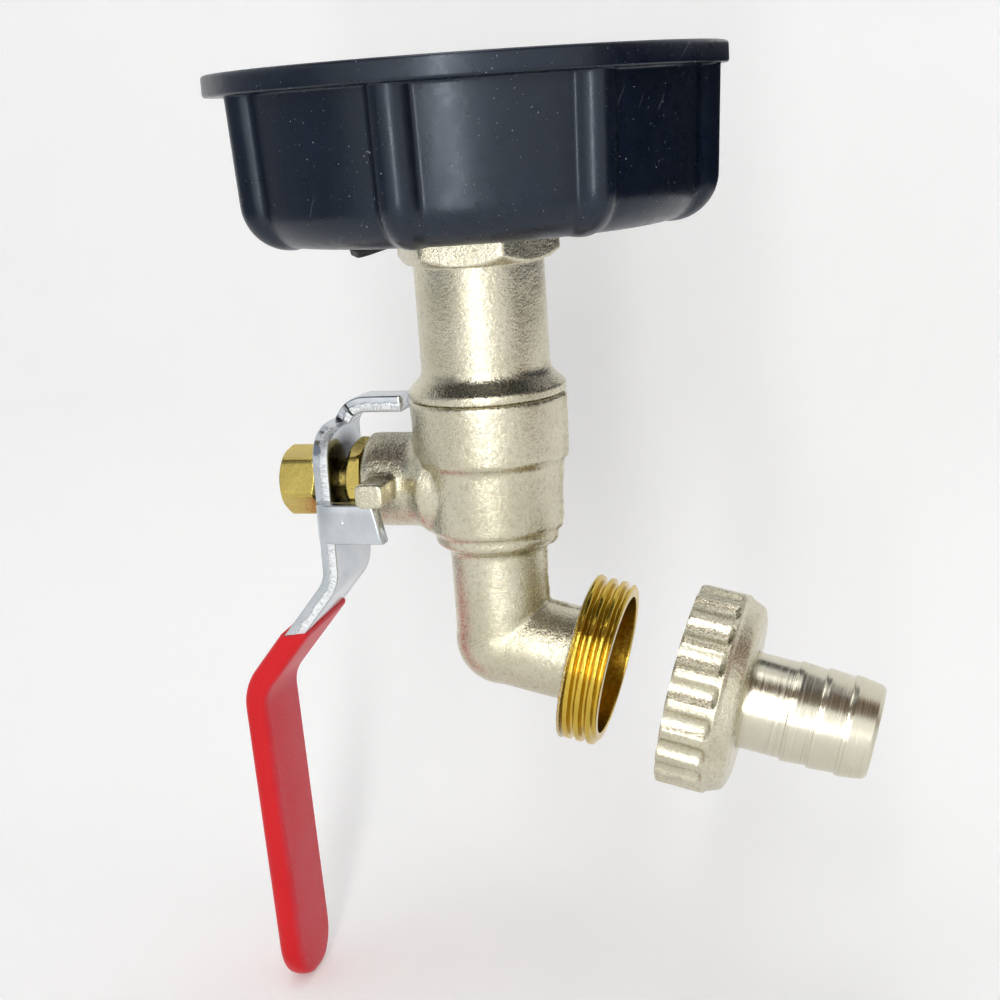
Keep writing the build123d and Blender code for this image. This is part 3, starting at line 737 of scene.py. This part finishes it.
def bright_steel():
    """Bright plated steel: blue-grey and smooth on its faces, with painted shade, nearly black, on
    the inner face round the stem. The sheared edges are smooth where the punch went in and torn
    crosswise, and brighter, where the steel broke away."""
    material, tree, shader, where = new_finish("zinc_steel")

    def mark(name):
        return put(tree, "Attribute", settings={"attribute_name": name}).outputs["Fac"]

    wander = grain(tree, where, 700, 3)
    broke = put(tree, "Math", mark("deep"), times(tree, wander, 0.5),
                settings={"operation": "ADD"}).outputs[0]
    torn = times(tree, between(tree, mark("edge"), 0.6, 0.95), between(tree, broke, 0.66, 0.78))
    cross = put(tree, "CombineXYZ", mark("run"), times(tree, mark("deep"), 0.0005)).outputs[0]
    ragged = grain(tree, cross, 4600, 3, rough=0.65)
    soft = grain(tree, where, 240, 3)
    base = tint(tree, between(tree, soft, 0.3, 0.7), (0.52, 0.56, 0.59, 1), (0.64, 0.67, 0.70, 1))
    base = tint(tree, torn, base, tint(tree, between(tree, ragged, 0.35, 0.6),
                                       (0.46, 0.48, 0.50, 1), (0.80, 0.82, 0.83, 1)))
    spots = between(tree, grain(tree, where, 1300, 2), 0.28, 0.24)
    base = tint(tree, times(tree, spots, 0.5), base, (0.18, 0.19, 0.20, 1))
    beside = put(tree, "VectorMath", where, (0, 0, 0.001 * BALL_HEIGHT),
                 settings={"operation": "SUBTRACT"}).outputs[0]
    beside = put(tree, "VectorMath", beside, (0, 1, 1),
                 settings={"operation": "MULTIPLY"}).outputs[0]
    from_stem = put(tree, "VectorMath", beside,
                    settings={"operation": "LENGTH"}).outputs["Value"]
    # Painted shade: the inner face that looks towards the body, close round the stem, is tinted
    # nearly black.
    inward = put(tree, "SeparateXYZ", put(tree, "TexCoord").outputs["Normal"]).outputs["X"]
    painted_stem_shade = times(tree, between(tree, from_stem, 0.0086, 0.0058), between(tree, inward, 0.6, 0.9))
    painted_stem_shade = times(tree, painted_stem_shade, between(tree, soft, 0.2, 0.45, 0.8, 1.0))
    base = tint(tree, painted_stem_shade, base, (0.012, 0.013, 0.022, 1))
    dents = between(tree, grain(tree, where, 800, 1, stretch=(1, 1, 0.4)), 0.30, 0.24)
    bump = relief(tree, soft, 0.08)
    bump = relief(tree, grain(tree, where, 1500, 3), 0.008, bump)
    bump = relief(tree, dents, -0.05, bump)
    bump = relief(tree, times(tree, ragged, torn), 0.14, bump)
    rough = between(tree, soft, 0.3, 0.7, 0.15, 0.24)
    rough = either(tree, rough, times(tree, torn, 0.34))
    connect(tree, shader, Base_Color=base, Metallic=1.0, Roughness=rough, Normal=bump)
    return material


steel = bright_steel()
lever_grids, lever_marks = lever_surface()
lever = make_piece("lever_plate", lever_grids, steel, **lever_marks)
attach(lever, "lever")
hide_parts("lever_arm")

# ---- Grip ---------------------------------------------------------------------------------------
# The hand strip is dipped warm in liquid vinyl, which leaves a soft red coat with round edges, a
# fat closed tip and a level dip line.

DIP_LINE = 22.4
COAT, LIP = 0.64, 0.5


def grip_surface():
    """The lever's own path in a thicker, rounder section. Its width follows the tip's round, its
    thickness closes like an ellipse at both ends, and its start is shifted to lie level on the
    slanting strip, a little higher on the far side."""
    reach = divide(lever_line, [0])[1]
    steps = np.linalg.norm(np.diff(lever_line, axis=0), axis=1)
    first = np.interp(DIP_LINE, -lever_line[:, 1], np.cumsum(np.concatenate([[0], steps])))
    tip = reach + 0.63
    start = first + LIP * (1 - np.cos(np.linspace(0, np.pi / 2, 7)))
    bunched = tip - 7.0 * (1 - np.sin(np.linspace(0, np.pi / 2, 26)))
    lengths = np.concatenate([start, np.arange(first + 1.0, tip - 7.2, 0.55), bunched])
    inside = np.minimum(lengths, reach)
    line = divide(lever_line, inside)[0]
    lean = (lever_line[-1] - lever_line[-2]) / np.linalg.norm(lever_line[-1] - lever_line[-2])
    line = line + np.maximum(lengths - reach, 0)[:, None] * lean
    half = rounded_line([(20, 8.0, 0), (-14.8, 8.0, 8), (-33.8, 7.13, 8), (-87.63, 7.13, 6.9),
                         (-87.63, 0.05, 0)], step=0.4, arc_points=16, closed=False)[::-1]
    wide = np.interp(line[:, 1], half[:, 0], half[:, 1])
    lip = np.sqrt(np.clip(1 - (1 - (lengths - first) / LIP) ** 2, 0, 1))
    lip = np.where(lengths < first + LIP, lip, 1.0)
    close = np.clip((tip - lengths) / 1.9, 0, 1)
    fat = 0.45 + 0.55 * np.sqrt(1 - (1 - close) ** 2)
    coat = COAT * lip
    wide = wide - COAT * (1 - lip)
    middle = -PLATE / 2
    lower = np.clip((lengths - first - 12) / 45, 0, 1)
    half_thick = (PLATE / 2 + coat + 0.16 * lower) * fat
    soft = np.minimum((1.35 + 0.6 * lower) * (0.25 + 0.75 * lip), half_thick * 0.94)
    soft = np.minimum(soft, wide * 0.98)
    points, marks = plate_loft(line, -wide, wide, middle + half_thick, middle - half_thick, soft,
                               arc=9)
    lengths = np.concatenate([[lengths[0]], lengths, [lengths[-1]]])
    near_start = np.clip(1 - (lengths - first) / 9.0, 0, 1)[:, None]
    level = (0.5 - marks["deep"]) * 3.9 * 0.837
    shift = (1.0 * points[..., 2] / 7.0 - level) * near_start
    slope = np.array([-15.9, 19.0]) / np.hypot(15.9, 19.0)
    points[..., 0] += shift * slope[0]
    points[..., 1] += shift * slope[1]
    points[0], points[-1] = points[1].mean(0), points[-2].mean(0)
    return np.stack([-points[..., 0], points[..., 2], points[..., 1] + BALL_HEIGHT], axis=-1)


def red_vinyl():
    """Dipped red vinyl: satin and saturated, with a painted pale pink sheen and specks of dust
    on its inner face.
    """
    material, tree, shader, where = new_finish("red_vinyl")
    facing = put(tree, "SeparateXYZ", put(tree, "TexCoord").outputs["Normal"]).outputs["X"]
    # Painted reflection: faces that look along +X are tinted pale pink as a sheen; dust specks and
    # extra roughness keep to that face.
    painted_sheen_face = between(tree, facing, 0.55, 0.98)
    specks = between(tree, grain(tree, where, 2600, 2), 0.58, 0.68)
    cloud = grain(tree, where, 120, 4)
    haze = times(tree, painted_sheen_face, between(tree, cloud, 0.3, 0.7, 0.2, 0.5))
    base = tint(tree, between(tree, cloud, 0.3, 0.7), (0.76, 0.006, 0.012, 1),
                (0.82, 0.009, 0.016, 1))
    base = tint(tree, haze, base, (0.62, 0.09, 0.14, 1))
    base = tint(tree, times(tree, times(tree, specks, painted_sheen_face), 0.22), base, (0.60, 0.25, 0.28, 1))
    bump = relief(tree, grain(tree, where, 1300, 4), 0.015)
    bump = relief(tree, grain(tree, where, 150, 2), 0.012, bump)
    rough = either(tree, between(tree, cloud, 0.3, 0.7, 0.36, 0.42), times(tree, painted_sheen_face, 0.42))
    connect(tree, shader, Base_Color=base, Roughness=rough, Normal=bump, Specular_IOR_Level=0.3)
    return material


vinyl = red_vinyl()
grip = make_piece("dipped_grip", grip_surface(), vinyl)
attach(grip, "lever")
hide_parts("lever_grip")

# ---- Lock washer and lever nut ------------------------------------------------------------------
# A spring washer and a brass nut hold the lever on the stem's threaded end. The nut's corners are
# turned round on both sides.

dress("lock_washer", steel)
lever_nut_shape = along_stem(
    hexagon_nut(10.0, 27.95, 33.95, 3.05, 1.0, corner_angle=np.radians(15.5))
)
lever_nut = make_piece("lever_nut_turned", lever_nut_shape, brass)
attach(lever_nut, "lever")
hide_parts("lever_nut")

# ---- Hose union ---------------------------------------------------------------------------------
# The union's nut is cast and plated like the body, with twenty grip recesses. It turns on the
# flange of a turned hose tail, which seals on a rubber ring.

UNION_START = 28.6
GRIPS, GRIP_CUT, CUT_CENTRE = 20, 2.1, 16.85
NUT_MOUTH = 13.3


def union_nut_surface(columns=380):
    """Turned outline whose outside is the smaller of its own radius and the near side of twenty
    round cuts that run out before the back; inside is the screw surface that fits the outlet's."""
    line = rounded_line([
        (7.85, 9.0, 0.1), (NUT_MOUTH, 9.0, 0.2), (NUT_MOUTH, 0.0, 0.3), (15.65, 0.0, 0.5),
        (15.65, 7.5, 0.4), (15.2, 8.0, 0.4), (14.3, 10.2, 1.2), (12.4, 10.8, 0.5),
        (7.85, 10.8, 0.3),
    ], step=0.16, arc_points=8)
    angle, radius, height = spun(line, columns)
    share = 2 * np.pi / GRIPS
    aside = (angle + share / 2) % share - share / 2
    cut = np.sqrt(np.maximum(GRIP_CUT**2 - (CUT_CENTRE * np.sin(aside)) ** 2, 0))
    near_side = np.where(cut > 0, CUT_CENTRE * np.cos(aside) - cut, 99.0)
    near_side = near_side + np.clip(height - 6.4, 0, 9) ** 2
    radius = np.where(radius > 13.4, smaller(radius, near_side, 0.35), radius)
    mating = 12.27 + THREAD_DEPTH * thread_tooth(height + 12.65, angle)
    lead = NUT_MOUTH - 1.2 * np.minimum(height - 0.6, 6.2 - height)
    mating = np.minimum(np.maximum(mating, lead), NUT_MOUTH)
    inside = (radius < 13.31) & (radius > 13.0) & (height < 6.2)
    return along_outlet(turn(np.where(inside, mating, radius), height, columns), UNION_START)


union = make_piece("union_nut_cast", union_nut_surface(), nickel)
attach(union, "nut")
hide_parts("union_nut")
dress("union_gasket", rubber)


def tail_surface(columns=300):
    """Turned outline: flange, shank, three barbs with sharp backs and sloping fronts, and bore."""
    corners = [(5.8, 7.5, 0.2), (13.0, 7.5, 0.15), (13.0, 8.9, 0.15), (7.55, 8.9, 0)]
    edge = 17.3
    for _ in range(3):
        corners += [(7.5, edge, 0.05), (7.8, edge + 0.05, 0.05), (7.8, edge + 0.9, 0.2)]
        edge += 4.2
    corners += [(7.3, edge, 0.15), (6.75, edge + 0.6, 0.15), (5.8, edge + 0.6, 0.1)]
    line = rounded_line(corners, step=0.25, arc_points=5)
    return along_outlet(turn(line[:, :1], line[:, 1:], columns), UNION_START)


def turned_nickel():
    """Turned and plated: fine rings round the outlet's axis, brighter than the cast skin."""
    material, tree, shader, where = new_finish("turned_nickel")
    axis = put(tree, "Mapping", where, Rotation=(0, DROOP, 0), Scale=(1, 60, 60),
               settings={"vector_type": "TEXTURE"}).outputs[0]
    rings = grain(tree, axis, 3200, 4, rough=0.7)
    broad = grain(tree, axis, 700, 2)
    cloud = grain(tree, where, 160, 3)
    base = tint(tree, cloud, (0.64, 0.61, 0.48, 1), (0.72, 0.69, 0.57, 1))
    base = tint(tree, between(tree, rings, 0.45, 0.3, 0.0, 0.35), base, (0.36, 0.30, 0.22, 1))
    bump = relief(tree, rings, 0.012)
    bump = relief(tree, broad, 0.02, bump)
    connect(tree, shader, Base_Color=base, Metallic=1.0, Normal=bump,
            Roughness=between(tree, rings, 0.3, 0.7, 0.16, 0.30))
    return material


tail = make_piece("hose_tail_turned", tail_surface(), turned_nickel())
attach(tail, "tail")
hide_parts("hose_tail")

# ---- Table, sheet, light and camera -------------------------------------------------------------
# The valve hangs just above a white table that bends up into a white sheet behind it. A tall soft
# lamp stands near the camera and a square one overhead. Pale and dark cards round the valve, and
# two close to the cap, show in the polished surfaces only, as a photographer's cards do.

TABLE, SHEET_BEHIND = -150.8, 108


def white_sheet():
    """Matt white that takes shadows, lifted to white where it is seen or mirrored, and open to
    rays that come from behind it."""
    material, tree, shader, where = new_finish("white_surface")
    seen = put(tree, "LightPath").outputs
    looked_at = either(tree, seen["Is Camera Ray"], seen["Is Glossy Ray"])
    looked_at = either(tree, looked_at, seen["Is Transmission Ray"])
    paper = tint(tree, grain(tree, where, 40, 3), (0.86, 0.86, 0.86, 1), (0.88, 0.88, 0.88, 1))
    connect(tree, shader, Base_Color=paper, Roughness=0.9, Specular_IOR_Level=0.1,
            Emission_Color=(1, 1, 1, 1), Emission_Strength=times(tree, looked_at, 0.24))
    behind = put(tree, "NewGeometry").outputs["Backfacing"]
    clear = put(tree, "BsdfTransparent").outputs[0]
    mix = put(tree, "MixShader", behind, shader.outputs[0], clear)
    tree.links.new(mix.outputs[0], tree.nodes["Material Output"].inputs["Surface"])
    return material


def stage_sheet(name, points, material, mirrored_only=False):
    """Open sheet through rows and columns of points, in millimetres."""
    rows, columns = points.shape[:2]
    index = np.arange(rows * columns).reshape(rows, columns)
    corners = [index[:-1, :-1], index[:-1, 1:], index[1:, 1:], index[1:, :-1]]
    mesh = bpy.data.meshes.new(name)
    mesh.from_pydata(0.001 * points.reshape(-1, 3), [],
                     np.stack(corners, axis=-1).reshape(-1, 4).tolist())
    mesh.polygons.foreach_set("use_smooth", np.ones(len(mesh.polygons), bool))
    mesh.materials.append(material)
    sheet = put_in_scene(name, mesh)
    if mirrored_only:
        sheet.visible_camera = sheet.visible_diffuse = sheet.visible_shadow = False
    return sheet


def bent_sheet(line, low=-3000.0, high=3000.0):
    """A bent line of (y, z) carried along X from low to high, so that its left side is its face."""
    return np.array([[(x, y, z) for x in (low, high)] for y, z in line])


cove = rounded_line([(-3000, TABLE, 0), (SHEET_BEHIND, TABLE, 80), (SHEET_BEHIND, 1500, 0)],
                    step=100, arc_points=24, closed=False)
backdrop = stage_sheet("white_cove", bent_sheet(cove), white_sheet())
backdrop.visible_shadow = False
stage_sheet("white_table", bent_sheet([(-3000, TABLE - 0.8), (3000, TABLE - 0.8)]), white_sheet())


def glow(name, colour):
    """Card that only shows in polished surfaces, at one brightness with a slight mottle."""
    material, tree, shader, where = new_finish(name)
    cloud = grain(tree, where, 6, 2)
    connect(tree, shader, Base_Color=(0, 0, 0, 1), Roughness=1.0, Specular_IOR_Level=0.0,
            Emission_Strength=1.0,
            Emission_Color=tint(tree, cloud, [0.9 * c for c in colour] + [1],
                                [1.1 * c for c in colour] + [1]))
    return material


def dome(azimuths, elevations, radius=900):
    """Patch of a sphere round the valve between two azimuths, counted to the right from
    straight ahead, and two elevations, in degrees."""
    around, up = (np.radians(np.linspace(*ends, 25)) for ends in (azimuths, elevations))
    around, up = np.meshgrid(around, up)
    points = np.stack([np.cos(up) * np.sin(around), -np.cos(up) * np.cos(around), np.sin(up)], -1)
    return radius * points - (0, 0, 80)


def upright(azimuths, radius=75, heights=(-40, 4)):
    """Part of an upright cylinder round the cap, between two azimuths."""
    around = np.radians(np.linspace(*azimuths, 31))
    return np.array([[(radius * np.sin(a), -radius * np.cos(a), h) for a in around]
                     for h in heights])


for name, shape, card, colour in (
    ("front_card", dome((-26, 66), (-38, 30)), "bright_card", (1.15, 1.15, 1.15)),
    ("middle_card", dome((-20, 34), (-26, 10), 880), "brightest_card", (1.52, 1.52, 1.52)),
    ("left_card", dome((-112, -30), (-50, 40)), "dim_card", (0.80, 0.82, 0.83)),
    ("right_card", dome((70, 108), (-50, 60)), "brown_card", (0.30, 0.16, 0.10)),
    ("top_card", dome((-80, 88), (37, 70), 890), "dark_card", (0.15, 0.10, 0.07)),
    ("grey_flag", upright((-78, -28)), "grey_card", (0.26, 0.28, 0.32)),
    ("black_flag", upright((60, 150)), "flag_card", (0.03, 0.035, 0.045)),
):
    stage_sheet(name, shape, glow(card, colour), mirrored_only=True)


def soft_light(name, place, target, width, height, power):
    """Flat white lamp that faces its target; places in millimetres, power in watts."""
    lamp = bpy.data.lights.new(name, "AREA")
    lamp.shape = "RECTANGLE"
    lamp.size, lamp.size_y = width * 0.001, height * 0.001
    lamp.energy = power
    holder = put_in_scene(name, lamp)
    facing = Vector(place) - Vector(target)
    holder.matrix_world = Matrix.Translation(Vector(place) * 0.001) @ facing.to_track_quat(
        "Z", "Y").to_matrix().to_4x4()
    holder.visible_camera = False


soft_light("window", (62, -450, -10), (0, 0, -60), 50, 760, 1.3)
soft_light("overhead", (-20, -60, 600), (0, 0, -60), 300, 300, 0.9)

world = bpy.data.worlds.new("surround")
bpy.context.scene.world = world
world.use_nodes = True
sky = world.node_tree
path = put(sky, "LightPath").outputs
shown = either(sky, either(sky, path["Is Camera Ray"], path["Is Glossy Ray"]),
               path["Is Transmission Ray"])
background = sky.nodes["Background"]
background.inputs["Color"].default_value = (1, 1, 1, 1)
sky.links.new(between(sky, shown, 0, 1, 0.40, 1.0), background.inputs["Strength"])

camera = bpy.data.cameras.new("camera")
camera.sensor_width = 36
camera.lens = 59.28
camera.clip_start, camera.clip_end = 0.01, 20
holder = put_in_scene("camera", camera)
right, upward = (0.9585, 0.2768, -0.0676), (-0.0018, 0.2431, 0.9700)
backward = (0.285, -0.9297, 0.2335)
stand = Matrix((right, upward, backward)).transposed().to_4x4()
stand.translation = Vector((0.0737, -0.23797, -0.00667))
holder.matrix_world = stand
bpy.context.scene.camera = holder
bpy.context.scene.view_settings.view_transform = "Standard"
